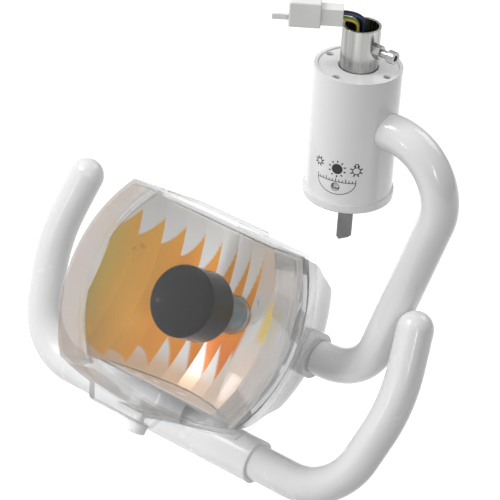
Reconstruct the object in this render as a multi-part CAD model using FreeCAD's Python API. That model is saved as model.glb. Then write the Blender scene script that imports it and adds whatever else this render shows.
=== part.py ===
import FreeCAD, Part
import math, os
from FreeCAD import Vector as V, Rotation, Placement

# ---------------------------------------------------------------- driving dimensions, mm
# Datum: centre of the mouth of the mounting stub. +Z up out of the mouth, +X along the arm.
STUB_R = 12.5            # mounting stub, outside radius
STUB_BORE_R = 11.0
STUB_RISE = 28.0         # mouth above the hub's top rim
STUB_LENGTH = 51.0
STUB_FLANGE_R = 17.0
CLAMP_Z = -14.0          # clamp screw below the mouth
CLAMP_R = 2.5

HUB_R = 28.75
HUB_WALL = 2.5
HUB_TOP = -STUB_RISE
CAP_TOP = -116.0
CAP_BOTTOM = -122.0
CAP_R = 30.0
PLATE_R = 26.2
PLATE_TOP = HUB_TOP - 0.7
PLATE_T = 4.3
PLATE_PCD = 46.0
PLATE_HOLE_R = 2.6
PLATE_LIP = 1.5          # lip over the bush
PLATE_LIP_R = 13.1

LEVER_PIVOT_Z = CAP_BOTTOM + 12.0
LEVER_TIP_Z = -158.5
LEVER_W = 9.6
LEVER_T = 3.6

TRIM_AZ = -72.0          # trimmer hole, direction round the hub
TRIM_Z = -103.5
TRIM_HOLE_R = 2.6

ARM_R = 12.5
ARM_WALL = 1.5
ARM_Z = -66.0            # horizontal run
ARM_OUT_X = 87.5         # upper corner
ARM_LEAN = 17.66         # lean of the middle run from vertical, degrees
ARM_BEND_1 = 40.0
ARM_BEND_2 = 45.0
CABLE_R = 3.0

TILT_Z = -258.0          # tilt axis height, same as the lower run
HEAD_X = -73.5           # head's middle plane
HEAD_TILT = 32.8         # optical axis above horizontal, degrees

# Head, in its own axes: x across, y up the face, z forward along the beam, origin on the tilt axis.
RIM_Z = 66.0             # joint of cover and housing
COVER_Z = 121.5          # middle of the front wall
COVER_HALF_W = 62.5      # half length of the straight top and bottom edges
COVER_HALF_H = 65.5
COVER_SAG = 7.5           # bow of the bottom edge below its ends
COVER_BULGE = 84.0       # half width at the middle of the side arcs
COVER_WALL = 2.5
DISH_Z = 23.0            # bottom of the reflector
DISH_KX = 108.5          # four focal lengths across
DISH_KY = 210.0          # four focal lengths up the face
DISH_HALF_W = 80.0
DISH_T = 1.6
FACETS = 14
SOCKET_HOLE_R = 13.0
SHIELD_R = 25.0
OPTIC_Y = 3.0            # bulb and shield sit a little above the tilt axis
SHIELD_FRONT = 95.0
SHIELD_LEN = 28.0
SLEEVE_R = 14.0          # glass sleeve round the bulb
PIVOT_R = 8.0
RUN = 0.05               # running clearance on radius

HANDLE_R = 12.5
HANDLE_Y = -79.0         # cross-piece below the tilt axis
HANDLE_Z = 36.0
HANDLE_TIP = (145.5, 49.0, 46.0)
HANDLE_KNEE = (153.5, -1.0, 42.0)
HANDLE_CORNER_X = 134.0
HANDLE_WALL = 2.5
GRIP_SLEEVE_R = 15.3
GRIP_SLEEVE_HALF = 70.0

KNOB_Z = 87.0
KNOB_R = 8.75

X = V(1, 0, 0)
Y = V(0, 1, 0)
Z = V(0, 0, 1)
HEAD = Placement(V(HEAD_X, 0, TILT_Z), Rotation(X, 90.0 - HEAD_TILT))


# ---------------------------------------------------------------- helpers
def save(shape, name, in_head=False):
    part = shape.copy()
    if in_head:
        part.Placement = HEAD.multiply(part.Placement)
    if not part.isValid():
        print("NOT VALID", name)
    part.exportStep("parts/" + name + ".step")
    print(name, "solids", len(part.Solids), "cm3", round(part.Volume / 1000.0, 3))


def cyl(r, p, axis, h):
    return Part.makeCylinder(r, h, p, axis)


def ring(r_out, r_in, p, axis, h):
    return cyl(r_out, p, axis, h).cut(cyl(r_in, p - axis * 1.0, axis, h + 2.0))


def box(x0, x1, y0, y1, z0, z1):
    return Part.makeBox(x1 - x0, y1 - y0, z1 - z0, V(x0, y0, z0))


def prism(points, depth):
    face = Part.Face(Part.makePolygon(points + [points[0]]))
    return face.extrude(depth)


def hexagon(across, p, axis, h):
    r = across / math.sqrt(3.0)
    side = axis.cross(Z) if abs(axis.z) < 0.9 else V(X)
    side.normalize()
    up = axis.cross(side)
    turn = math.pi / 3.0
    pts = [p + side * (r * math.cos(i * turn)) + up * (r * math.sin(i * turn)) for i in range(6)]
    return prism(pts, axis * h)


def fuse(shapes):
    body = shapes[0]
    for s in shapes[1:]:
        body = body.fuse(s)
    return body.removeSplitter()


def route(points, radii):
    """Straight runs joined by tangent arcs, as one wire."""
    edges = []
    here = points[0]
    for i in range(1, len(points) - 1):
        a = (points[i - 1] - points[i]).normalize()
        b = (points[i + 1] - points[i]).normalize()
        half = a.getAngle(b) / 2.0
        r = radii[i - 1]
        reach = r / math.tan(half)
        start = points[i] + a * reach
        end = points[i] + b * reach
        bis = (a + b).normalize()
        mid = points[i] + bis * (r / math.sin(half) - r)
        edges.append(Part.makeLine(here, start))
        edges.append(Part.Arc(start, mid, end).toShape())
        here = end
    edges.append(Part.makeLine(here, points[-1]))
    return Part.Wire(edges)


def pipe(points, radii, r):
    wire = route(points, radii)
    start = points[0]
    ring_edge = Part.makeCircle(r, start, points[1] - points[0])
    return wire.makePipeShell([Part.Wire([ring_edge])], True, True)


def cord_radii(points):
    out = []
    for i in range(1, len(points) - 1):
        a = points[i] - points[i - 1]
        b = points[i + 1] - points[i]
        turn = a.getAngle(b)
        out.append(0.45 * min(a.Length, b.Length) / math.tan(turn / 2.0))
    return out


def outline(a, c, b, z, sag=0.0):
    """Straight top, straight or bowed bottom, bowed sides, in a plane across the beam."""
    tl, tr, br, bl = V(-a, c, z), V(a, c, z), V(a, -c, z), V(-a, -c, z)
    bottom = Part.Arc(br, V(0, -c - sag, z), bl).toShape() if sag else Part.makeLine(br, bl)
    edges = [
        Part.makeLine(tl, tr),
        Part.Arc(tr, V(b, 0, z), br).toShape(),
        bottom,
        Part.Arc(bl, V(-b, 0, z), tl).toShape(),
    ]
    return Part.Wire(edges)


def loft(wires, ruled=False):
    return Part.makeLoft(wires, True, ruled)


os.makedirs("parts", exist_ok=True)

# ---------------------------------------------------------------- mounting stub, fixed to the ceiling arm
stub = ring(STUB_R, STUB_BORE_R, V(0, 0, -STUB_LENGTH), Z, STUB_LENGTH)
stub = stub.fuse(ring(STUB_FLANGE_R, STUB_BORE_R, V(0, 0, -STUB_LENGTH), Z, 3.0))
stub = stub.cut(cyl(CLAMP_R, V(5, 0, CLAMP_Z), X, 15))
save(stub, "mount_stub")

seat = cyl(STUB_R, V(0, 0, CLAMP_Z - 8), Z, 16)
nut = hexagon(8.0, V(11.0, 0, CLAMP_Z), X, 6.0).cut(seat).cut(cyl(CLAMP_R, V(5, 0, CLAMP_Z), X, 20))
save(nut, "clamp_nut")
screw = cyl(CLAMP_R, V(STUB_BORE_R + 0.3, 0, CLAMP_Z), X, 12.0)
screw = screw.fuse(cyl(4.25, V(22.8, 0, CLAMP_Z), X, 5.0))
screw = screw.cut(hexagon(4.0, V(25.3, 0, CLAMP_Z), X, 4.0))
save(screw, "clamp_screw")
washer = ring(16.6, STUB_R + 0.2, V(0, 0, -47.9), Z, 1.3)
save(washer, "swivel_washer")

# Supply wires: out of the stub's mouth and over to the plug, a two by two bundle.
AWAY = V(-0.795, -0.606, 0)
ACROSS = V(0.606, -0.795, 0)
WIRE_R = 0.85
PLUG_NEAR = 12.5
PLUG_Z = 6.6
wires = {"wire_blue": (1, 1), "wire_brown": (-1, 1), "wire_yellow": (1, -1), "wire_earth": (-1, -1)}
for name, (side, level) in wires.items():
    off = ACROSS * (1.9 * side)
    z = PLUG_Z - 0.8 + 1.9 * level
    down = AWAY * (0.6 - 1.9 * level)
    pts = [AWAY * (PLUG_NEAR + 1.0) + off + Z * z, down + off + Z * z, down + off - Z * (28.0 + 3 * level)]
    radii = cord_radii(pts)
    print(name, "radii", [round(r, 2) for r in radii], [tuple(round(v, 3) for v in p) for p in pts])
    save(pipe(pts, radii, WIRE_R), name)

plug_frame = Placement(V(0, 0, PLUG_Z), Rotation(AWAY, ACROSS, Z, "XYZ"))


def plug_part(shape, name):
    shape.Placement = plug_frame
    save(shape, name)


rear = box(PLUG_NEAR, PLUG_NEAR + 14.0, -5.2, 5.2, -6.4, 4.8)
for side in (-1, 1):
    for level in (-1, 1):
        rear = rear.cut(cyl(WIRE_R, V(PLUG_NEAR - 1, 1.9 * side, 1.9 * level - 0.8), X, 2.0))
plug_part(rear, "connector_rear")
x0 = PLUG_NEAR + 14.0
shell = box(x0, x0 + 20.5, -7.0, 7.0, -8.2, 9.0)
shell = shell.makeFillet(1.0, shell.Edges)
for side in (-1, 1):
    for level in (-1, 1):
        shell = shell.cut(box(x0 + 4, x0 + 30, 3.4 * side - 2.3, 3.4 * side + 2.3, 4 * level - 2.8, 4 * level + 2.8))
plug_part(shell, "connector_body")
latch = box(x0 + 20.5, x0 + 31.0, -2.5, 2.5, -5.9, -2.5)
latch = latch.cut(box(x0 + 10, x0 + 40, 1.1, 9, -9, 9)).cut(box(x0 + 10, x0 + 40, -9, -1.1, -9, 9))
plug_part(latch, "connector_latch")
pins = [cyl(1.0, V(x0 + 4, 3.4 * s, 4.0 * l), X, 13.0) for s in (-1, 1) for l in (-1, 1)]
plug_part(Part.makeCompound(pins), "connector_pins")

# ---------------------------------------------------------------- hub
shell = ring(HUB_R, HUB_R - HUB_WALL, V(0, 0, CAP_TOP), Z, HUB_TOP - CAP_TOP)
ledge_top = PLATE_TOP - PLATE_T
shell = shell.fuse(ring(HUB_R - 1.0, 20.6, V(0, 0, ledge_top - 7.0), Z, 7.0))
for i in range(4):
    t = math.radians(90.0 * i)
    p = V(PLATE_PCD / 2.0 * math.cos(t), PLATE_PCD / 2.0 * math.sin(t), ledge_top - 6.0)
    shell = shell.cut(cyl(1.6, p, Z, 10))
shell = shell.cut(cyl(ARM_R, V(15, 0, ARM_Z), X, 30))
TRIM_DIR = V(math.cos(math.radians(TRIM_AZ)), math.sin(math.radians(TRIM_AZ)), 0)
shell = shell.cut(cyl(TRIM_HOLE_R, TRIM_DIR * 20 + Z * TRIM_Z, TRIM_DIR, 20))
save(shell, "hub_shell")

plate = cyl(PLATE_R, V(0, 0, ledge_top), Z, PLATE_T).cut(cyl(15.0, V(0, 0, ledge_top - 1), Z, PLATE_T + 1 - PLATE_LIP))
plate = plate.cut(cyl(PLATE_LIP_R, V(0, 0, ledge_top - 1), Z, 10))
screws = []
for i in range(4):
    t = math.radians(90.0 * i)
    p = V(PLATE_PCD / 2.0 * math.cos(t), PLATE_PCD / 2.0 * math.sin(t), 0)
    plate = plate.cut(cyl(1.6, p + Z * (ledge_top - 1), Z, 10)).cut(cyl(PLATE_HOLE_R, p + Z * (PLATE_TOP - 3.2), Z, 10))
    s = cyl(1.6, p + Z * (ledge_top - 5.5), Z, 6.6).fuse(cyl(2.5, p + Z * (PLATE_TOP - 3.2), Z, 1.6))
    screws.append(s.cut(hexagon(1.5, p + Z * (PLATE_TOP - 2.6), Z, 3.0)))
save(plate, "top_plate")
save(Part.makeCompound(screws), "plate_screws")

bush = ring(15.0, STUB_R + RUN, V(0, 0, -46.5), Z, 46.5 + PLATE_TOP - PLATE_LIP)
bush = bush.fuse(ring(18.5, 14.0, V(0, 0, ledge_top - 2.5), Z, 2.5))
save(bush, "swivel_bush")

cap = cyl(CAP_R, V(0, 0, CAP_BOTTOM), Z, CAP_TOP - CAP_BOTTOM)
cap = cap.makeFillet(1.6, [e for e in cap.Edges if abs(e.BoundBox.ZMax - CAP_BOTTOM) < 0.01 and len(e.Vertexes) < 2])
cap = cap.fuse(ring(HUB_R - HUB_WALL, HUB_R - HUB_WALL - 2.2, V(0, 0, CAP_TOP), Z, 5.0))
cap = cap.cut(cyl(HUB_R - HUB_WALL - 2.2, V(0, 0, CAP_BOTTOM + 3.5), Z, 20))
cap = cap.cut(cyl(9.0, V(0, 0, CAP_BOTTOM - 1), Z, 10))
save(cap, "bottom_cap")
floor = CAP_BOTTOM + 3.5

SWITCH_TOP = floor + 29.5
switch = box(-9.5, 9.5, -8, 8, floor, SWITCH_TOP).fuse(cyl(9.0, V(0, 0, CAP_BOTTOM), Z, 4.0))
switch = switch.fuse(cyl(8.4, V(0, 0, CAP_BOTTOM - 3.4), Z, 4.0))
switch = switch.cut(cyl(6.8, V(0, 0, CAP_BOTTOM - 4), Z, 9)).cut(box(-6.4, 6.4, -5.4, 5.4, floor - 2, LEVER_PIVOT_Z + 6.0))
switch = switch.cut(cyl(2.0 + RUN, V(-9.0, 0, LEVER_PIVOT_Z), X, 18.0))
save(switch, "switch_body")
ringnut = hexagon(23.0, V(0, 0, CAP_BOTTOM - 2.6), Z, 2.6).cut(cyl(8.4, V(0, 0, CAP_BOTTOM - 5), Z, 9))
save(ringnut, "switch_nut")
tags = [box(-5.5 + 4 * i, -2.5 + 4 * i, -0.4, 0.4, SWITCH_TOP, SWITCH_TOP + 5.0) for i in range(3)]
save(Part.makeCompound(tags), "switch_tags")

lever = cyl(2.0, V(-8.6, 0, LEVER_PIVOT_Z), X, 17.2)
BLADE_TOP = CAP_BOTTOM - 4.5
lever = lever.fuse(box(-3.1, 3.1, -1.8, 1.8, BLADE_TOP, LEVER_PIVOT_Z + 2.5))
h = LEVER_W / 2.0
tip = LEVER_TIP_Z
blade = prism([V(-h, -LEVER_T / 2, BLADE_TOP), V(h, -LEVER_T / 2, BLADE_TOP), V(h, -LEVER_T / 2, tip + 4.5),
               V(-h + 2.2, -LEVER_T / 2, tip), V(-h, -LEVER_T / 2, tip + 1.5)], Y * LEVER_T)
lever = lever.fuse(blade).removeSplitter()
save(lever, "toggle_lever")

side = TRIM_DIR.cross(Z)
trim_frame = Placement(V(0, 0, TRIM_Z), Rotation(TRIM_DIR, Z.cross(TRIM_DIR), Z, "XYZ"))
board = box(12.0, 13.6, -16.5, 16.5, floor - TRIM_Z, 20.0)
board.Placement = trim_frame
save(board, "control_board")
pot = box(13.6, 20.0, -4.5, 4.5, -4.5, 4.5).cut(cyl(2.0 + RUN, V(15.0, 0, 0), X, 10))
pot.Placement = trim_frame
save(pot, "trimmer_body")
rotor = cyl(2.0, V(15.4, 0, 0), X, 11.4).cut(box(25.9, 30, -0.35, 0.35, -3, 3))
rotor.Placement = trim_frame
save(rotor, "trimmer_rotor")
chips = [box(13.6, 17.1, -14, -8, 2, 14), cyl(3.0, V(13.6, 11, 5), X, 7), cyl(3.0, V(13.6, 11, 13), X, 7)]
chips = Part.makeCompound(chips)
chips.Placement = trim_frame
save(chips, "board_components")

# ---------------------------------------------------------------- arm
lean = math.radians(ARM_LEAN)
low_x = ARM_OUT_X - (ARM_Z - TILT_Z) * math.tan(lean)
TUBE_END = HEAD_X + 62.5
ARM_START = 15.5
turns = [V(ARM_START, 0, ARM_Z), V(ARM_OUT_X, 0, ARM_Z), V(low_x, 0, TILT_Z), V(TUBE_END, 0, TILT_Z)]
bends = [ARM_BEND_1, ARM_BEND_2]
tube = pipe(turns, bends, ARM_R).cut(pipe(turns, bends, ARM_R - ARM_WALL))
save(tube, "arm_tube")
print("arm lower corner x", round(low_x, 2))
inner = cyl(HUB_R - HUB_WALL, V(0, 0, ARM_Z - 20), Z, 40)
collar = ring(17.5, ARM_R, V(18.5, 0, ARM_Z), X, 12).common(inner)
save(collar, "arm_collar")
CABLE_END = HEAD_X + 35.9
cable = pipe([V(8.0, 0, ARM_Z)] + turns[1:3] + [V(CABLE_END, 0, TILT_Z)], bends, CABLE_R)
save(cable, "arm_cable")

# Tilt pivot: a hollow shaft on the arm's end, running in a bush in the head's side boss.
ends = HEAD_X
shaft = cyl(ARM_R - ARM_WALL, V(ends + 62.5, 0, TILT_Z), X, 4.6)
shaft = shaft.fuse(cyl(ARM_R, V(ends + 61.2, 0, TILT_Z), X, 1.3))
shaft = shaft.fuse(cyl(PIVOT_R, V(ends + 36.0, 0, TILT_Z), X, 26.0))
shaft = shaft.cut(cyl(4.5, V(ends + 30, 0, TILT_Z), X, 50))
save(shaft.removeSplitter(), "pivot_shaft")
w_out = ring(12.0, PIVOT_R, V(ends + 60.1, 0, TILT_Z), X, 1.1)
w_in = ring(12.0, PIVOT_R, V(ends + 44.8, 0, TILT_Z), X, 1.1)
save(Part.makeCompound([w_out, w_in]), "friction_washers")
wave = ring(11.5, PIVOT_R, V(ends + 43.4, 0, TILT_Z), X, 1.4)
save(wave, "spring_washer")
nut = hexagon(22.0, V(ends + 37.4, 0, TILT_Z), X, 6.0).cut(cyl(PIVOT_R, V(ends + 30, 0, TILT_Z), X, 20))
save(nut, "pivot_nut")

# ---------------------------------------------------------------- head, in its own axes
SECTIONS = [(RIM_Z, 62.0, 62.0, 80.5), (55.0, 59.0, 61.0, 74.6), (38.0, 54.5, 59.4, 66.0), (15.0, 47.0, 54.5, 55.5),
            (-12.0, 41.0, 47.0, 49.0), (-32.0, 32.0, 36.0, 40.0)]
outer = loft([outline(a, c, b, z) for z, a, c, b in SECTIONS])
wall = 2.0
hollow = loft([outline(a - wall, c - wall, b - wall, z + (2.4 if z < 0 else 0.4)) for z, a, c, b in SECTIONS])
housing = outer.cut(hollow)
boss = cyl(16.5, V(46.0, 0, 0), X, 14.0)
housing = housing.fuse(boss).cut(cyl(10.0, V(40, 0, 0), X, 30))
for i in range(-3, 4):
    housing = housing.cut(box(7.0 * i - 1.6, 7.0 * i + 1.6, 6, 26, -36, -25))
    housing = housing.cut(box(7.0 * i - 1.6, 7.0 * i + 1.6, -26, -6, -36, -25))
save(housing, "rear_housing", True)

save(ring(10.0, PIVOT_R + RUN, V(46.0, 0, 0), X, 14.0), "tilt_bush", True)


def dish_z(x, y):
    return DISH_Z + x * x / DISH_KX + y * y / DISH_KY


# The reflector's sides stand forward of the housing's rim, inside the cover's flange and side walls.
LIMITS = [(COVER_Z, 62.6, 65.6, 84.1), (RIM_Z + 4.0, 62.6, 65.6, 84.1), (RIM_Z + 3.0, 62.5, 62.5, 80.8)] + SECTIONS


def inside_housing(x, y, z, gap):
    """True where a point clears the inner walls of the housing and cover by the gap."""
    for (z1, a1, c1, b1), (z0, a0, c0, b0) in zip(LIMITS, LIMITS[1:]):
        if z0 <= z <= z1:
            t = (z - z0) / (z1 - z0)
            a, c, b = a0 + (a1 - a0) * t, c0 + (c1 - c0) * t, b0 + (b1 - b0) * t
            r = (c * c + (b - a) ** 2) / (2.0 * (b - a))
            side = b - r + math.sqrt(max(r * r - y * y, 0.0))
            return abs(x) < side - gap and abs(y) < c - gap
    return False


def dish_section(x):
    """Closed band across the reflector at one facet edge."""
    limit = 61.0
    while limit > 12.0:
        z = dish_z(x, limit)
        if inside_housing(x, limit, z, wall + 1.8) and inside_housing(x, limit, z - 2.0, wall + 1.8):
            break
        limit -= 0.25
    mid = dish_z(x, 0)
    edge = dish_z(x, limit)
    low = edge - DISH_T * 1.2
    front = Part.Arc(V(x, -limit, edge), V(x, 0, mid), V(x, limit, edge)).toShape()
    back = Part.Arc(V(x, limit, low), V(x, 0, mid - DISH_T), V(x, -limit, low)).toShape()
    right = Part.makeLine(V(x, limit, edge), V(x, limit, low))
    left = Part.makeLine(V(x, -limit, low), V(x, -limit, edge))
    return Part.Wire([front, right, back, left])


half = FACETS // 2
stations = [DISH_HALF_W * i / half for i in range(-half, half + 1)]
dish = loft([dish_section(x) for x in stations], True)
dish_solid = dish.copy()
dish = dish.cut(cyl(SOCKET_HOLE_R, V(0, OPTIC_Y, 0), Z, 40))
save(dish, "reflector", True)

# Chassis behind the reflector: base plate, two feet on the dish, cheeks to the housing wall.
chassis = box(-40, 34, -11, 11, -8, -5)
for s in (-1, 1):
    chassis = chassis.fuse(box(24.0 * s - 3, 24.0 * s + 3, -9, 9, -6, 30))
chassis = chassis.fuse(box(-58, -38, -11, 11, -8, -5)).fuse(box(-14, 14, -60, 60, -8, -5))
chassis = chassis.cut(dish_solid).cut(cyl(2.6, V(8, 0, 0), X, 30)).common(hollow)
chassis = max(chassis.Solids, key=lambda s: s.Volume)
save(chassis, "lamp_chassis", True)

clips = box(62, 79, -8, 8, 50, 65.5).fuse(box(-79, -62, -8, 8, 50, 65.5))
clips = clips.cut(dish_solid).common(hollow)
behind = [s for s in clips.Solids if s.CenterOfMass.z < dish_z(s.CenterOfMass.x, 0)]
save(Part.makeCompound(behind), "reflector_clips", True)

bulb_z = DISH_Z + 11.0
socket = cyl(10.0, V(0, OPTIC_Y, -5), Z, bulb_z + 3.0)
socket = socket.fuse(ring(SOCKET_HOLE_R - 0.1, 9.0, V(0, OPTIC_Y, DISH_Z - 8.0), Z, 14.0))
for s in (-1, 1):
    socket = socket.cut(cyl(0.9, V(3.2 * s, OPTIC_Y, bulb_z - 14), Z, 20))
save(socket, "bulb_socket", True)
pins = [cyl(0.5, V(3.2 * s, OPTIC_Y, bulb_z - 12), Z, 16.0) for s in (-1, 1)]
save(Part.makeCompound(pins), "bulb_pins", True)
bulb = box(-5.0, 5.0, OPTIC_Y - 2.6, OPTIC_Y + 2.6, bulb_z - 1, bulb_z + 8)
bulb = bulb.fuse(cyl(5.6, V(0, OPTIC_Y, bulb_z + 8), Z, 14)).fuse(Part.makeSphere(5.6, V(0, OPTIC_Y, bulb_z + 22)))
bulb = bulb.fuse(Part.makeCone(1.6, 0.7, 3.0, V(0, OPTIC_Y, bulb_z + 26.9), Z))
for s in (-1, 1):
    bulb = bulb.cut(cyl(0.5, V(3.2 * s, OPTIC_Y, bulb_z - 5), Z, 9.0))
save(bulb.removeSplitter(), "halogen_bulb", True)
glass_z = DISH_Z + 6.0
back = SHIELD_FRONT - SHIELD_LEN
glass = ring(SLEEVE_R, SLEEVE_R - 1.4, V(0, OPTIC_Y, glass_z), Z, back + 8.0 - glass_z)
save(glass, "glass_sleeve", True)

shield = cyl(SHIELD_R, V(0, OPTIC_Y, back), Z, SHIELD_LEN)
shield = shield.makeFillet(2.2, [e for e in shield.Edges if abs(e.BoundBox.ZMin - SHIELD_FRONT) < 0.01])
shield = shield.cut(cyl(SHIELD_R - 1.6, V(0, OPTIC_Y, back - 1), Z, SHIELD_LEN - 1.0))
shield = shield.fuse(ring(SLEEVE_R + 2.0, SLEEVE_R, V(0, OPTIC_Y, back), Z, SHIELD_LEN - 1.0))
save(shield, "bulb_shield", True)

# Clear front cover: bowed sides, domed front wall, lip at the rear, top hook and bottom tongue.
dome_r = 480.0


def cover_solid(shrink):
    wire = outline(COVER_HALF_W - shrink, COVER_HALF_H - shrink, COVER_BULGE - shrink, RIM_Z - 5, COVER_SAG)
    body = Part.Face(wire).extrude(Z * 70)
    dome = Part.makeSphere(dome_r, V(0, 0, COVER_Z - shrink - dome_r))
    return body.common(dome)


skin = cover_solid(0.0)
front_edges = [e for e in skin.Edges if e.BoundBox.ZMin > RIM_Z + 20 and e.Length > 30]
skin = skin.makeFillet(5.0, front_edges)
core = cover_solid(COVER_WALL)
cover = skin.cut(core).cut(box(-100, 100, -100, 100, RIM_Z - 20, RIM_Z))
grow = 2.5
rim = loft([outline(COVER_HALF_W + grow, COVER_HALF_H + grow, COVER_BULGE + grow, z, COVER_SAG)
            for z in (RIM_Z, RIM_Z + 2.5)], True)
bore = loft([outline(60.5, 60.5, 78.8, z) for z in (RIM_Z - 1, RIM_Z + 4.0)], True)
cover = cover.fuse(rim.cut(bore))
hook = box(-31, 31, COVER_HALF_H - 1.2, COVER_HALF_H + 2.8, RIM_Z + 8, COVER_Z - 7.0)
hook = hook.makeFillet(1.5, [e for e in hook.Edges if e.BoundBox.YMin > COVER_HALF_H])
TONGUE_Y = -COVER_HALF_H - COVER_SAG
tongue = prism([V(-31, TONGUE_Y + 2.5, 106), V(31, TONGUE_Y + 2.5, 106), V(26, TONGUE_Y - 7.5, 106),
                V(-26, TONGUE_Y - 7.5, 106)], Z * 6.5)
cover = cover.fuse(hook.cut(core)).fuse(tongue.cut(core)).removeSplitter()
save(cover, "clear_cover", True)

# Strap under the cover with the thumb screw that holds it.
y_strap = TONGUE_Y - 5.0
strap = box(-11, 11, y_strap, y_strap + 2.0, 54, 101).fuse(box(-11, 11, y_strap, -55.0, 54, 56))
strap = strap.cut(outer)
strap = max(strap.Solids, key=lambda s: s.Volume)
strap = strap.cut(cyl(2.5, V(0, y_strap - 2, KNOB_Z), Y, 8))
save(strap, "cover_strap", True)
knob_top = y_strap - 6.0
knob = cyl(KNOB_R, V(0, knob_top - 7.5, KNOB_Z), Y, 7.5)
knob = knob.makeFillet(1.2, knob.Edges)
knob = knob.fuse(cyl(4.5, V(0, knob_top - 1, KNOB_Z), Y, 6.7)).fuse(cyl(2.45, V(0, knob_top, KNOB_Z), Y, 9.0))
save(knob.removeSplitter(), "cover_knob", True)

# Handle: two curved grips pushed into a sleeve under the housing.
block = box(-30, 30, -68, -40, HANDLE_Z - 8, HANDLE_Z + 8)
sleeve_solid = cyl(GRIP_SLEEVE_R, V(-GRIP_SLEEVE_HALF, HANDLE_Y, HANDLE_Z), X, 2 * GRIP_SLEEVE_HALF)
block = block.cut(outer).cut(sleeve_solid)
block = min(block.Solids, key=lambda s: s.CenterOfMass.y)
save(block, "handle_bracket", True)
sleeve = sleeve_solid.cut(cyl(HANDLE_R, V(-80, HANDLE_Y, HANDLE_Z), X, 160))
for s in (-1, 1):
    sleeve = sleeve.cut(cyl(2.0, V(60.0 * s, HANDLE_Y, HANDLE_Z), Y * -1, 20))
save(sleeve, "handle_sleeve", True)
for s, name in ((-1, "grip_left"), (1, "grip_right")):
    pts = [V(12.0 * s, HANDLE_Y, HANDLE_Z), V(HANDLE_CORNER_X * s, HANDLE_Y, HANDLE_Z),
           V(HANDLE_KNEE[0] * s, HANDLE_KNEE[1], HANDLE_KNEE[2]), V(HANDLE_TIP[0] * s, HANDLE_TIP[1], HANDLE_TIP[2])]
    grip = pipe(pts, [46.0, 120.0], HANDLE_R).fuse(Part.makeSphere(HANDLE_R, pts[-1]))
    grip = grip.cut(pipe(pts, [46.0, 120.0], HANDLE_R - HANDLE_WALL).fuse(Part.makeSphere(HANDLE_R - HANDLE_WALL, pts[-1])))
    grip = grip.cut(cyl(2.0, V(60.0 * s, HANDLE_Y - 6.0, HANDLE_Z), Y * -1, 20))
    save(grip.removeSplitter(), name, True)
pegs = []
for s in (-1, 1):
    peg = cyl(2.0, V(60.0 * s, HANDLE_Y - 9.6, HANDLE_Z), Y * -1, 5.2)
    pegs.append(peg.cut(hexagon(2.0, V(60.0 * s, HANDLE_Y - 12.5, HANDLE_Z), Y * -1, 4.0)))
save(Part.makeCompound(pegs), "grip_screws", True)

lead = cyl(2.4, V(9.6, 0, 0), X, 25.7).cut(cyl(10.0, V(0, OPTIC_Y, -10), Z, 30))
save(lead, "lamp_lead", True)
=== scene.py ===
import bpy
import bmesh
import math
from mathutils import Matrix, Vector


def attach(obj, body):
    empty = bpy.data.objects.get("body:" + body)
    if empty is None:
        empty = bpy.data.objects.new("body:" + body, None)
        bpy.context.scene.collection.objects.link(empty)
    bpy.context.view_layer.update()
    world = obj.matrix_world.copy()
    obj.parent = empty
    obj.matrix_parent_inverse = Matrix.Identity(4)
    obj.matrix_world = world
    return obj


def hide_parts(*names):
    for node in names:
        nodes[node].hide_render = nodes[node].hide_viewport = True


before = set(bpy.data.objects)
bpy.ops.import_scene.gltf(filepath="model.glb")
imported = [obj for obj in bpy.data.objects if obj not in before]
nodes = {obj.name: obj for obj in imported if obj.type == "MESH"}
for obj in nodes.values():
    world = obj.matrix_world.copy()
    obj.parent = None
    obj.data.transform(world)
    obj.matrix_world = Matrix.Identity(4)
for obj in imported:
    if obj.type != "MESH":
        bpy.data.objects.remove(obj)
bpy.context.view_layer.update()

MM = 0.001                   # sizes and places are in millimetres, except where a comment says metres


# ------------------------------------------------------------------ frames of reference
# The head's own axes: x across, y up its face, z forward along the beam.
HEAD_AT = Vector((-73.5, 0.0, -258.0)) * MM
HEAD_TILT = math.radians(32.8)
HEAD = Matrix.Translation(HEAD_AT) @ Matrix.Rotation(math.pi / 2 - HEAD_TILT, 4, "X")
HEAD_FORWARD = (0.0, -math.cos(HEAD_TILT), math.sin(HEAD_TILT))
HUB_R = 28.75
HUB_TOP_Z = -28.0

# ------------------------------------------------------------------ camera
CAM_AZ = math.radians(37.25)
CAM_EL = math.radians(30.87)
CAM_ROLL = math.radians(3.79)
CAM_DIST = 1607.0
LENS = 180.72                # on a 36 mm sensor
SENSOR = 36.0
HUB_RIGHT = 69.6004          # the hub's top stands this far right of and above the picture's middle, in mm
HUB_ABOVE = 118.8732
FAR_CLIP = 50.0              # metres


def make_camera():
    flat = math.cos(CAM_EL)
    right = Vector((math.cos(CAM_AZ), math.sin(CAM_AZ), 0))
    back = Vector((math.sin(CAM_AZ) * flat, -math.cos(CAM_AZ) * flat, math.sin(CAM_EL)))
    up = back.cross(right)
    c, s = math.cos(CAM_ROLL), math.sin(CAM_ROLL)
    rolled_right = right * c + up * s
    rolled_up = up * c - right * s
    hub_top = Vector((0, 0, HUB_TOP_Z))
    place = hub_top - rolled_right * HUB_RIGHT - rolled_up * HUB_ABOVE + back * CAM_DIST
    data = bpy.data.cameras.new("camera")
    data.sensor_width = SENSOR
    data.lens = LENS
    data.clip_end = FAR_CLIP
    cam = bpy.data.objects.new("camera", data)
    turn = Matrix((rolled_right, rolled_up, back)).transposed().to_4x4()
    cam.matrix_world = Matrix.Translation(place * MM) @ turn
    bpy.context.scene.collection.objects.link(cam)
    bpy.context.scene.camera = cam


make_camera()

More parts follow.
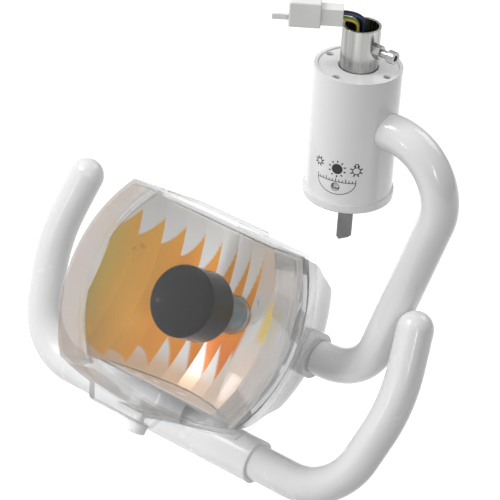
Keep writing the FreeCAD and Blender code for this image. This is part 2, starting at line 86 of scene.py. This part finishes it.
# ------------------------------------------------------------------ materials
COAT_ROUGHNESS = 0.08
WEAR_FINER = 3.1             # how much finer the uneven gloss is than the mottling
GRAIN_DEPTH = 0.0004         # metres
RIPPLE_DEPTH = 0.0006        # metres
CLEAR_IOR = 1.49             # acrylic, and close to glass
SHINE_IOR = 1.34             # lower than the real one, so a wall of two faces doesn't shine twice as much
SHINE_MOST = 0.6


def new_material(name):
    m = bpy.data.materials.new(name)
    m.use_nodes = True
    return m, m.node_tree, m.node_tree.nodes["Principled BSDF"]


def noise(nt, scale, detail=3.0, stretch=(1, 1, 1)):
    tc = nt.nodes.new("ShaderNodeTexCoord")
    mp = nt.nodes.new("ShaderNodeMapping")
    mp.inputs["Scale"].default_value = stretch
    tx = nt.nodes.new("ShaderNodeTexNoise")
    tx.inputs["Scale"].default_value = scale
    tx.inputs["Detail"].default_value = detail
    nt.links.new(tc.outputs["Object"], mp.inputs["Vector"])
    nt.links.new(mp.outputs["Vector"], tx.inputs["Vector"])
    return tx.outputs["Fac"]


def ramp(nt, source, stops):
    """Colours at the given places of a value that runs 0 to 1."""
    r = nt.nodes.new("ShaderNodeValToRGB")
    while len(r.color_ramp.elements) < len(stops):
        r.color_ramp.elements.new(0.5)
    for e, (pos, col) in zip(r.color_ramp.elements, stops):
        e.position = pos
        e.color = (*col, 1)
    nt.links.new(source, r.inputs["Fac"])
    return r.outputs["Color"]


def grey(v):
    return (v, v, v)


def tint(col, k):
    return tuple(min(1.0, c * k) for c in col)


def mottled(nt, source, low, high):
    return ramp(nt, source, [(0.3, low), (0.7, high)])


def bumps(nt, height, strength, depth):
    bp = nt.nodes.new("ShaderNodeBump")
    bp.inputs["Strength"].default_value = strength
    bp.inputs["Distance"].default_value = depth
    nt.links.new(height, bp.inputs["Height"])
    return bp


def solid(name, col, rough, metallic=0.0, coat=0.0, vary=0.05, grain=60.0, bump=0.02, bump_scale=900.0,
          rough_vary=0.05, bevel=0.0006, stretch=(1, 1, 1), specular=0.5):
    """An opaque finish with slight mottling, uneven gloss, a fine grain and edges that catch the light."""
    m, nt, b = new_material(name)
    patches = noise(nt, grain, 4.0, stretch)
    colour = mottled(nt, patches, tint(col, 1 - vary), tint(col, 1 + vary))
    nt.links.new(colour, b.inputs["Base Color"])
    wear = noise(nt, grain * WEAR_FINER, 3.0, stretch)
    gloss = mottled(nt, wear, grey(max(0.02, rough - rough_vary)), grey(rough + rough_vary))
    nt.links.new(gloss, b.inputs["Roughness"])
    b.inputs["Metallic"].default_value = metallic
    b.inputs["Coat Weight"].default_value = coat
    b.inputs["Coat Roughness"].default_value = COAT_ROUGHNESS
    b.inputs["Specular IOR Level"].default_value = specular
    bp = bumps(nt, noise(nt, bump_scale, 2.0, stretch), bump, GRAIN_DEPTH)
    if bevel:
        bv = nt.nodes.new("ShaderNodeBevel")
        bv.samples = 4
        bv.inputs["Radius"].default_value = bevel
        nt.links.new(bv.outputs["Normal"], bp.inputs["Normal"])
    nt.links.new(bp.outputs["Normal"], b.inputs["Normal"])
    return m


def with_milky_walls(nt, seen, wall_haze):
    """At least wall_haze on the walls that run along the beam, and nothing more on faces across it."""
    tc = nt.nodes.new("ShaderNodeTexCoord")
    along = nt.nodes.new("ShaderNodeVectorMath")
    along.operation = "DOT_PRODUCT"
    along.inputs[1].default_value = HEAD_FORWARD
    nt.links.new(tc.outputs["Normal"], along.inputs[0])
    size = nt.nodes.new("ShaderNodeMath")
    size.operation = "ABSOLUTE"
    nt.links.new(along.outputs["Value"], size.inputs[0])
    milk = ramp(nt, size.outputs["Value"], [(0.35, grey(wall_haze)), (0.85, grey(0.0))])
    more = nt.nodes.new("ShaderNodeMath")
    more.operation = "MAXIMUM"
    nt.links.new(seen, more.inputs[0])
    nt.links.new(milk, more.inputs[1])
    return more.outputs["Value"]


def mixed(nt, fac, first, second):
    mix = nt.nodes.new("ShaderNodeMixShader")
    nt.links.new(fac, mix.inputs["Fac"])
    nt.links.new(first, mix.inputs[1])
    nt.links.new(second, mix.inputs[2])
    return mix.outputs["Shader"]


def clear(name, haze, gloss, seen, passed_and_edge_shade, ripple, wall_haze=0.0):
    """Clear plastic or glass: lets light through, darker and shinier where it turns away; the darkening is
    painted shade.
    seen is how much of the surface shows, face on to edge on, and passed is the light let through, which
    falls towards edge on as painted shade for the darker surroundings its edges mirror.
    wall_haze is how milky the walls are that run along the beam."""
    m, nt, b = new_material(name)
    b.inputs["Roughness"].default_value = 0.4
    b.inputs["IOR"].default_value = CLEAR_IOR
    waves = noise(nt, 18, 2.0)
    nt.links.new(mottled(nt, waves, tint(haze, 0.97), haze), b.inputs["Base Color"])
    bp = bumps(nt, waves, ripple, RIPPLE_DEPTH)
    nt.links.new(bp.outputs["Normal"], b.inputs["Normal"])

    turned = nt.nodes.new("ShaderNodeLayerWeight")
    turned.inputs["Blend"].default_value = 0.5
    places = (0.0, 0.5, 0.8, 1.0)
    fac = ramp(nt, turned.outputs["Facing"], [(q, grey(v)) for q, v in zip(places, seen)])
    through = nt.nodes.new("ShaderNodeBsdfTransparent")
    # Towards edge on, the light let through falls off: painted shade.
    nt.links.new(ramp(nt, turned.outputs["Facing"], list(zip(places, passed_and_edge_shade))), through.inputs["Color"])
    if wall_haze:
        fac = with_milky_walls(nt, fac, wall_haze)
    body = mixed(nt, fac, through.outputs["BSDF"], b.outputs["BSDF"])

    shine = nt.nodes.new("ShaderNodeBsdfGlossy")
    shine.inputs["Roughness"].default_value = gloss
    nt.links.new(bp.outputs["Normal"], shine.inputs["Normal"])
    fr = nt.nodes.new("ShaderNodeFresnel")
    fr.inputs["IOR"].default_value = SHINE_IOR
    shiny = ramp(nt, fr.outputs["Fac"], [(0.0, grey(0.0)), (1.0, grey(SHINE_MOST))])
    surface = mixed(nt, shiny, body, shine.outputs["BSDF"])
    nt.links.new(surface, nt.nodes["Material Output"].inputs["Surface"])
    return m


white_paint = solid("white_paint", (0.83, 0.83, 0.835), 0.2, coat=0.5, vary=0.012, grain=30, bump_scale=500)
white_plastic = solid("white_plastic", (0.82, 0.82, 0.825), 0.24, coat=0.35, vary=0.012, grain=25, bump=0.015)
# The stub's strong streaks along its length are partly brushing grain and partly painted reflections.
steel = solid("brushed_steel_and_painted_streaks", (0.4, 0.4, 0.39), 0.24, metallic=1.0, vary=0.42, grain=230, bump=0.3,
              bump_scale=1500, stretch=(1, 1, 0.03), rough_vary=0.09)
screw_steel = solid("screw_steel", (0.42, 0.42, 0.42), 0.3, metallic=1.0, vary=0.1, grain=200, bump=0.05)
inner_steel = solid("zinc_plate", (0.6, 0.6, 0.58), 0.38, metallic=1.0, vary=0.1, grain=80, bump=0.05)
nylon = solid("nylon", (0.84, 0.84, 0.82), 0.36, vary=0.04, grain=70, bump=0.04)
black = solid("black_plastic", (0.008, 0.008, 0.009), 0.3, coat=0.15, vary=0.2, grain=120, bump=0.08)
shield_black = solid("shield_black", (0.004, 0.004, 0.005), 0.15, vary=0.15, grain=90, bump=0.015,
                     bevel=0.0012, specular=0.2, rough_vary=0.02)
grey_plastic = solid("grey_plastic", (0.24, 0.24, 0.24), 0.42, vary=0.08, grain=150, bump=0.1)
board_green = solid("circuit_board", (0.03, 0.16, 0.07), 0.35, vary=0.15, grain=220)
brass = solid("brass", (0.55, 0.42, 0.2), 0.25, metallic=1.0, vary=0.08)
rubber = solid("cable_jacket", (0.06, 0.06, 0.065), 0.6, vary=0.1)
ceramic = solid("ceramic", (0.72, 0.7, 0.64), 0.55, vary=0.05, grain=200, bump=0.1)
# Dark print, also used for the painted shade ring round the trimmer's hole.
ink_and_shade = solid("printed_ink_and_shade", (0.012, 0.012, 0.014), 0.5, vary=0.2, grain=400, bevel=0)
# In each list of light let through, the low values towards edge on are painted shade.
cover_clear = clear("clear_cover", (0.95, 0.955, 0.96), 0.04, (0.004, 0.04, 0.2, 0.45),
                    [grey(0.985), grey(0.97), (0.9, 0.905, 0.905), (0.72, 0.73, 0.74)], 0.02,
                    wall_haze=0.2)
glass = clear("lamp_glass", (0.5, 0.56, 0.6), 0.03, (0.05, 0.1, 0.3, 0.6),
              [(0.88, 0.93, 0.96), (0.74, 0.84, 0.9), (0.4, 0.5, 0.58), (0.1, 0.14, 0.18)], 0.05)

LOOK = {
    white_paint: ["hub_shell", "top_plate", "arm_tube", "arm_collar"],
    white_plastic: ["bottom_cap", "rear_housing", "handle_sleeve", "grip_left", "grip_right",
                    "handle_bracket", "cover_knob", "cover_strap", "reflector_clips"],
    steel: ["mount_stub"],
    screw_steel: ["clamp_screw", "clamp_nut", "plate_screws", "grip_screws", "switch_nut", "bulb_pins",
                  "switch_tags"],
    inner_steel: ["spring_washer", "pivot_nut", "pivot_shaft", "lamp_chassis"],
    nylon: ["trimmer_rotor", "connector_body", "connector_rear", "connector_latch", "swivel_washer",
            "swivel_bush", "tilt_bush", "friction_washers"],
    black: ["switch_body", "board_components", "trimmer_body"],
    shield_black: ["bulb_shield"],
    grey_plastic: ["toggle_lever"],
    board_green: ["control_board"],
    brass: ["connector_pins"],
    rubber: ["arm_cable", "lamp_lead"],
    ceramic: ["bulb_socket"],
    glass: ["halogen_bulb", "glass_sleeve"],
    cover_clear: ["clear_cover"],
}
for material, names in LOOK.items():
    for n in names:
        mesh = nodes[n].data
        mesh.materials.clear()
        mesh.materials.append(material)


def mesh_piece(name, verts, faces, material, smooth=False):
    me = bpy.data.meshes.new(name)
    me.from_pydata([tuple(v) for v in verts], [], faces)
    me.validate()
    me.update()
    for p in me.polygons:
        p.use_smooth = smooth
    ob = bpy.data.objects.new(name, me)
    me.materials.append(material)
    bpy.context.scene.collection.objects.link(ob)
    return ob


# ------------------------------------------------------------------ supply wires
# On the route points of the CAD wires, from inside the stub up to its mouth and over to the plug. The second
# point of each is an extra one on the long straight run, about as far from the corner as the plug is.
WIRE_D = 1.7
ROUTES = {
    "wire_blue": [(2.185, -0.723, -31.0), (2.185, -0.723, -7.094), (2.185, -0.723, 7.7),
                  (-9.581, -9.691, 7.7)],
    "wire_brown": [(-0.118, 2.298, -31.0), (-0.118, 2.298, -7.094), (-0.118, 2.298, 7.7),
                   (-11.884, -6.67, 7.7)],
    "wire_yellow": [(-0.836, -3.026, -25.0), (-0.836, -3.026, -7.095), (-0.836, -3.026, 3.9),
                    (-9.581, -9.691, 3.9)],
    "wire_earth": [(-3.139, -0.004, -25.0), (-3.139, -0.004, -7.096), (-3.139, -0.004, 3.9),
                   (-11.884, -6.67, 3.9)],
}
WIRE_COLOURS = {
    "wire_blue": (0.012, 0.03, 0.14),
    "wire_brown": (0.035, 0.018, 0.01),
    "wire_yellow": (0.62, 0.47, 0.06),
    "wire_earth": (0.25, 0.36, 0.05),
}


def wire_piece(node, pts):
    name = node + "_cord"
    cu = bpy.data.curves.new(name, "CURVE")
    cu.dimensions = "3D"
    cu.bevel_depth = WIRE_D / 2 * MM
    cu.bevel_resolution = 6
    cu.resolution_u = 24
    cu.use_fill_caps = True
    sp = cu.splines.new("NURBS")
    sp.points.add(len(pts) - 1)
    for p, q in zip(sp.points, pts):
        p.co = (q[0] * MM, q[1] * MM, q[2] * MM, 1)
    sp.order_u = 3
    sp.use_endpoint_u = True
    ob = bpy.data.objects.new(name, cu)
    bpy.context.scene.collection.objects.link(ob)
    cu.materials.append(solid(node + "_skin", WIRE_COLOURS[node], 0.35, vary=0.08, grain=300, bevel=0))
    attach(ob, "mount")
    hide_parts(node)
    return ob


for node, pts in ROUTES.items():
    ob = wire_piece(node, pts)

# ------------------------------------------------------------------ reflector shape
# Facets flat across and curved up the face, in the head's axes and millimetres.
DISH_Z = 23.0                # bottom of the reflector
DISH_KX = 108.5              # four focal lengths across
DISH_KY = 210.0              # four focal lengths up the face
DISH_HALF_W = 80.0
FACETS = 14
WALL = 1.4
OPTIC_Y = 3.0                # the lamp hole's middle
HOLE_R = 13.4

# Outlines of the room for the reflector: (z, corner half width, half height, middle half width)
ROOM = [(121.5, 62.6, 65.6, 84.1), (70.0, 62.6, 65.6, 84.1), (69.0, 62.5, 62.5, 80.8),
        (66.0, 62.0, 62.0, 80.5), (55.0, 59.0, 61.0, 74.6), (38.0, 54.5, 59.4, 66.0),
        (15.0, 47.0, 54.5, 55.5)]
GAP = 2.35                   # kept free between the reflector and its surroundings
EDGE_DEPTH = 2.0             # the reflector's edge, front to back
TALLEST = 61.0
SHORTEST = 12.0
TRIM_STEP = 0.25
ROWS = 130                   # mesh steps up the face
FACET_STEPS = 10             # mesh steps across one facet
WIDE = FACETS * FACET_STEPS + 1


def dish_z(x, y):
    return DISH_Z + x * x / DISH_KX + y * y / DISH_KY


def side_at(y, a, c, b):
    """Half width, at a height y, of an outline whose half width is a at its corners and b in the middle.
    c is the height of the corners."""
    r = (c * c + (b - a) ** 2) / (2.0 * (b - a))
    return b - r + math.sqrt(max(r * r - y * y, 0.0))


def fits(x, y, z):
    """Whether a place is inside the room for the reflector."""
    for (z1, a1, c1, b1), (z0, a0, c0, b0) in zip(ROOM, ROOM[1:]):
        if z0 <= z <= z1:
            t = (z - z0) / (z1 - z0)
            a, c, b = a0 + (a1 - a0) * t, c0 + (c1 - c0) * t, b0 + (b1 - b0) * t
            return abs(x) < side_at(y, a, c, b) - GAP and abs(y) < c - GAP
    return False


def rim_half(x):
    """Half height of the reflector at a place across."""
    limit = TALLEST
    while limit > SHORTEST:
        z = dish_z(x, limit)
        if fits(x, limit, z) and fits(x, limit, z - EDGE_DEPTH):
            break
        limit -= TRIM_STEP
    return limit


# ------------------------------------------------------------------ reflector colours, with painted reflections and shade
# The dichroic mirror is silver. On it are painted reflections: an orange field with saw teeth above and
# below, one to a facet, a peach strip along the bottom and a bright lime patch.
# All hues below but SILVER are painted reflections.
ORANGE = Vector((0.98, 0.40, 0.05))
AMBER = Vector((0.96, 0.50, 0.06))
LIME = Vector((0.84, 0.60, 0.08))
REFLECTED_RED = Vector((0.82, 0.24, 0.03))
SILVER = Vector((0.90, 0.90, 0.89))
PEACH = Vector((0.86, 0.62, 0.42))
BRIGHT_LIME = LIME * 1.15
TOOTH_TIP = 47.0             # height of every upper tooth
TOOTH_CURVE = 1.3
EDGE_SOFT = 0.8
FACET_DARK, FACET_LIFT = 0.93, 0.12     # painted shade across each facet: brightness at one side of a facet, and its rise to the other


def smooth(a, b, v):
    """0 at a to 1 at b, with soft ends. Where b is below a, it falls as v grows."""
    t = min(1.0, max(0.0, (v - a) / (b - a)))
    return t * t * (3 - 2 * t)


def reflected_colour(x, y):
    """The painted reflection's orange field: lime at its far left, red at its lower right, amber along its
    top.
    """
    warm = LIME.lerp(AMBER, smooth(-82, -66, x)).lerp(ORANGE, smooth(-66, -40, x))
    warm = warm.lerp(REFLECTED_RED, smooth(-38, 0, x) * smooth(15, -30, y))
    return warm.lerp(AMBER, smooth(20, 46, y) * 0.7)


def in_reflected_field(x, y, u):
    """1 inside the painted reflection's orange field, 0 outside. Its teeth grow across each facet, as u runs
    0 to 1.
    """
    k = smooth(-60, 4, x)
    valley = (29 + 5 * k) * (1 - k) + 2 * k
    top = valley + (TOOTH_TIP - valley) * u ** TOOTH_CURVE
    low_start = -53 + 33 * smooth(-62, -18, x)
    low = low_start + (-58 + 14 * k - low_start) * u
    under_top = smooth(top + EDGE_SOFT, top - EDGE_SOFT, y)
    over_low = smooth(low - EDGE_SOFT, low + EDGE_SOFT, y)
    return under_top * over_low * smooth(16, 12, x)


def coating_reflection_and_shade(x, y, u):
    """Colour at a place: the silver mirror with its painted reflections, and painted shade across each facet.
    """
    # painted shade: each facet darker at one side, rising to the other
    warm = reflected_colour(x, y) * (FACET_DARK + FACET_LIFT * u)
    # painted reflection: a peach strip along the bottom
    pale = SILVER.lerp(PEACH, smooth(-35, -52, y) * smooth(40, -10, x))
    col = pale.lerp(warm, in_reflected_field(x, y, u))
    # painted reflection: a bright lime patch
    patch = smooth(24, 32, x) * smooth(54, 46, x) * smooth(-10, 0, y) * smooth(28, 16, y)
    return col.lerp(BRIGHT_LIME, patch * 0.85)


# ------------------------------------------------------------------ reflector piece
def across(i, steps):
    """x at one of a number of equal steps across the reflector."""
    return DISH_HALF_W * (2 * i / steps - 1)


def reflector_mesh():
    """Vertices, faces and, for each face, its corners' colours."""
    half_height = [rim_half(across(i, WIDE - 1)) for i in range(WIDE)]

    def place(i, j, facet):
        x0, x1 = across(facet, FACETS), across(facet + 1, FACETS)
        u = i / FACET_STEPS - facet
        x = x0 + (x1 - x0) * u
        y = half_height[i] * (2 * j / ROWS - 1)
        return x, y, dish_z(x0, y) * (1 - u) + dish_z(x1, y) * u, u

    verts, faces, cols = [], [], []
    for j in range(ROWS + 1):
        for i in range(WIDE):
            x, y, z, u = place(i, j, min(i // FACET_STEPS, FACETS - 1))
            verts.append(HEAD @ (Vector((x, y, z)) * MM))
    for j in range(ROWS):
        for i in range(WIDE - 1):
            corners = ((i, j), (i + 1, j), (i + 1, j + 1), (i, j + 1))
            faces.append(tuple(q * WIDE + p for p, q in corners))
            for p, q in corners:
                x, y, z, u = place(p, q, i // FACET_STEPS)
                cols.append(coating_reflection_and_shade(x, y, u))
    return verts, faces, cols


def mirror_material():
    m, nt, b = new_material("dichroic_mirror")
    # The vertex colours hold the silver mirror with its painted reflections and painted shade.
    attr = nt.nodes.new("ShaderNodeAttribute")
    attr.attribute_name = "coating_reflection_and_shade"
    nt.links.new(attr.outputs["Color"], b.inputs["Base Color"])
    b.inputs["Metallic"].default_value = 0.2
    gloss = ramp(nt, noise(nt, 40), [(0.0, grey(0.25)), (1.0, grey(0.33))])
    nt.links.new(gloss, b.inputs["Roughness"])
    return m


def crease_facets(mesh):
    """Keep the lines between facets sharp."""
    for e in mesh.edges:
        p, q = e.vertices
        if abs(p - q) == WIDE and (p % WIDE) % FACET_STEPS == 0:
            e.use_edge_sharp = True


def cut_lamp_hole(mesh):
    into_head = HEAD.inverted()
    middle = Vector((0, OPTIC_Y, 0))
    bm = bmesh.new()
    bm.from_mesh(mesh)
    hole = []
    for f in bm.faces:
        centre = (into_head @ f.calc_center_median()) / MM
        if (centre - middle).xy.length < HOLE_R:
            hole.append(f)
    bmesh.ops.delete(bm, geom=hole, context="FACES")
    bm.to_mesh(mesh)
    bm.free()


verts, faces, cols = reflector_mesh()
refl = mesh_piece("reflector_mirror", verts, faces, mirror_material(), smooth=True)
crease_facets(refl.data)
# Corner colours: the silver mirror with painted reflections and painted shade across each facet.
layer = refl.data.color_attributes.new("coating_reflection_and_shade", "FLOAT_COLOR", "CORNER")
for i, c in enumerate(cols):
    layer.data[i].color = (*c, 1)
cut_lamp_hole(refl.data)
sol = refl.modifiers.new("wall", "SOLIDIFY")
sol.thickness = WALL * MM
sol.offset = -1.0
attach(refl, "head")
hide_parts("reflector")

# ------------------------------------------------------------------ printed marks, and painted shade, on the hub
# A scale over a half-round line, a dark ring round the trimmer's hole that is painted shade, and three sun
# signs, drawn as (arc mm, z mm).
PRINT_R = HUB_R + 0.06       # just outside the shell
SCALE_AZ = -72.0
SCALE_Z = -99.6
SCALE_HALF = 13.3
SCALE_TICKS = 12
LONG_TICK, SHORT_TICK = 2.6, 1.7
BOW_DEPTH = 9.2
BOW_STEPS = 24
TRIM_Z = -103.5
TRIM_SHADE_RING = (2.6, 2.95)      # inner and outer radius of the painted shade round the trimmer's hole
ROUND_STEPS = 24
LINE_W, SUN_LINE_W, RAY_W = 0.5, 0.6, 0.9
STROKE_STEP = 1.5            # lines are cut into pieces about this long, to follow the hub's curve
LAMP_BASE_Z = (-87.6, -85.4)            # the small lamp base on top of the third sun
LAMP_BASE_HALF = 0.9


def hub_patch(points, verts, faces):
    """A thin polygon of print or painted shade, given as (arc mm, z mm) pairs round the middle of the scale.
    """
    start = len(verts)
    for s, z in points:
        a = math.radians(SCALE_AZ + math.degrees(s / HUB_R))
        verts.append(Vector((PRINT_R * math.cos(a), PRINT_R * math.sin(a), z)) * MM)
    faces.append(tuple(range(start, start + len(points))))


def stroke(p, q, w, verts, faces):
    d = Vector((q[0] - p[0], q[1] - p[1]))
    n = Vector((-d.y, d.x)).normalized() * (w / 2)
    steps = max(1, int(d.length / STROKE_STEP))
    for i in range(steps):
        a = Vector(p) + d * (i / steps)
        c = Vector(p) + d * ((i + 1) / steps)
        hub_patch([tuple(v) for v in (a - n, c - n, c + n, a + n)], verts, faces)


def ring_points(cx, cz, r):
    turns = [2 * math.pi * i / ROUND_STEPS for i in range(ROUND_STEPS + 1)]
    return [(cx + r * math.cos(t), cz + r * math.sin(t)) for t in turns]


def sun(cx, cz, r, rays, filled, reach, verts, faces):
    ring = ring_points(cx, cz, r)
    for p, q in zip(ring, ring[1:]):
        if filled:
            hub_patch([(cx, cz), p, q], verts, faces)
        else:
            stroke(p, q, SUN_LINE_W, verts, faces)
    near, far = r + (0.9 if filled else 0.2), r + reach
    for i in range(rays):
        t = 2 * math.pi * (i + 0.5) / rays
        c, s = math.cos(t), math.sin(t)
        stroke((cx + near * c, cz + near * s), (cx + far * c, cz + far * s), RAY_W, verts, faces)


def scale_marks(verts, faces):
    stroke((-SCALE_HALF, SCALE_Z), (SCALE_HALF, SCALE_Z), LINE_W, verts, faces)
    for i in range(SCALE_TICKS + 1):
        x = SCALE_HALF * (2 * i / SCALE_TICKS - 1)
        tall = LONG_TICK if i % 3 == 0 else SHORT_TICK
        stroke((x, SCALE_Z), (x, SCALE_Z + tall), LINE_W, verts, faces)
    turns = [math.pi * i / BOW_STEPS for i in range(BOW_STEPS + 1)]
    bow = [(-SCALE_HALF * math.cos(t), SCALE_Z - BOW_DEPTH * math.sin(t)) for t in turns]
    for p, q in zip(bow, bow[1:]):
        stroke(p, q, LINE_W, verts, faces)


def sun_marks(verts, faces):
    lamp_x = 13.1
    sun(-12.9, -88.6, 1.9, 8, False, 1.7, verts, faces)
    sun(0.4, -90.3, 3.7, 10, True, 2.3, verts, faces)
    sun(lamp_x, -90.4, 2.5, 8, False, 1.9, verts, faces)
    low, high = LAMP_BASE_Z
    for side in (-LAMP_BASE_HALF, LAMP_BASE_HALF):
        stroke((lamp_x + side, low), (lamp_x + side, high), SUN_LINE_W, verts, faces)
    stroke((lamp_x - 1.1, high), (lamp_x + 1.1, high), SUN_LINE_W, verts, faces)


# Painted shade: a dark ring round the trimmer's hole, standing in for the shade in the hole.
def trimmer_shade_ring(verts, faces):
    inner, outer = (ring_points(0.0, TRIM_Z, r) for r in TRIM_SHADE_RING)
    for i in range(ROUND_STEPS):
        hub_patch([inner[i], outer[i], outer[i + 1], inner[i + 1]], verts, faces)


verts, faces = [], []
scale_marks(verts, faces)
sun_marks(verts, faces)
trimmer_shade_ring(verts, faces)
# The marks piece holds the print and the painted shade ring.
marks = mesh_piece("printed_scale", verts, faces, ink_and_shade)
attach(marks, "hub")

# ------------------------------------------------------------------ floor
FLOOR_HALF = 7.0             # metres
FLOOR_Z = -1.1               # metres


def floor_material():
    m, nt, b = new_material("pale_floor")
    b.inputs["Base Color"].default_value = (*grey(0.3), 1)
    b.inputs["Roughness"].default_value = 0.9
    b.inputs["Specular IOR Level"].default_value = 0.0
    b.inputs["Emission Color"].default_value = (*grey(1.0), 1)
    b.inputs["Emission Strength"].default_value = 0.95
    return m


corners = [(-1, -1), (1, -1), (1, 1), (-1, 1)]
floor = mesh_piece("floor", [(x * FLOOR_HALF, y * FLOOR_HALF, FLOOR_Z) for x, y in corners],
                   [(0, 1, 2, 3)], floor_material())
floor.visible_diffuse = False

# ------------------------------------------------------------------ studio light
BRIGHT_SIDE = Vector((-0.72, -0.35, 0.6))
ROOM_LIGHT = 0.95


def make_world():
    """A soft studio, bright from the upper left and front, dimmer from the right and behind. Seen directly,
    the backdrop is plain white."""
    world = bpy.data.worlds.new("world")
    bpy.context.scene.world = world
    world.use_nodes = True
    nt = world.node_tree
    tc = nt.nodes.new("ShaderNodeTexCoord")
    dot = nt.nodes.new("ShaderNodeVectorMath")
    dot.operation = "DOT_PRODUCT"
    dot.inputs[1].default_value = BRIGHT_SIDE.normalized()
    nt.links.new(tc.outputs["Generated"], dot.inputs[0])
    to_unit = nt.nodes.new("ShaderNodeMapRange")
    to_unit.inputs["From Min"].default_value = -1.0
    nt.links.new(dot.outputs["Value"], to_unit.inputs["Value"])
    light = nt.nodes["Background"]
    shades = [(0.1, grey(0.17)), (0.5, grey(0.39)), (0.95, grey(1.05))]
    nt.links.new(ramp(nt, to_unit.outputs["Result"], shades), light.inputs["Color"])
    light.inputs["Strength"].default_value = ROOM_LIGHT
    backdrop = nt.nodes.new("ShaderNodeBackground")
    backdrop.inputs["Color"].default_value = (*grey(1.0), 1)
    ray = nt.nodes.new("ShaderNodeLightPath")
    sky = mixed(nt, ray.outputs["Is Camera Ray"], light.outputs["Background"], backdrop.outputs["Background"])
    nt.links.new(sky, nt.nodes["World Output"].inputs["Surface"])


def area(name, place, aim, size, power, shape=(1, 1), spread=180.0):
    """A panel of light. Its place, aim and size are in metres, its power in watts, its spread in degrees."""
    data = bpy.data.lights.new(name, "AREA")
    data.shape = "RECTANGLE"
    data.size = size * shape[0]
    data.size_y = size * shape[1]
    data.energy = power
    data.spread = math.radians(spread)
    ob = bpy.data.objects.new(name, data)
    ob.location = place
    ob.rotation_euler = (Vector(aim) - Vector(place)).to_track_quat("-Z", "Y").to_euler()
    bpy.context.scene.collection.objects.link(ob)
    return ob


make_world()
MIDDLE = (-0.04, 0, -0.18)
LAMP = (-0.0735, -0.04, -0.24)
area("key", (-1.0, -0.85, 1.45), MIDDLE, 0.7, 13.0)
area("fill", (1.3, -1.1, 0.7), MIDDLE, 0.35, 2.2, (0.35, 1.6))
area("edge", (1.25, -1.15, 0.55), MIDDLE, 0.06, 0.8, (1, 5))
# The reflector is lit from low in front, by a lamp that nothing mirrors.
low_front = area("low_front", (-0.134, -0.66, -0.205), LAMP, 0.13, 0.05, spread=26.0)
low_front.visible_glossy = False
area("glint", (-0.33, -1.42, 0.22), (-0.04, -0.09, -0.24), 0.07, 0.55, (1, 2.0))
area("rim", (0.3, 1.4, 1.1), MIDDLE, 0.9, 6.0)

view = bpy.context.scene.view_settings
view.view_transform = "Standard"
view.look = "None"
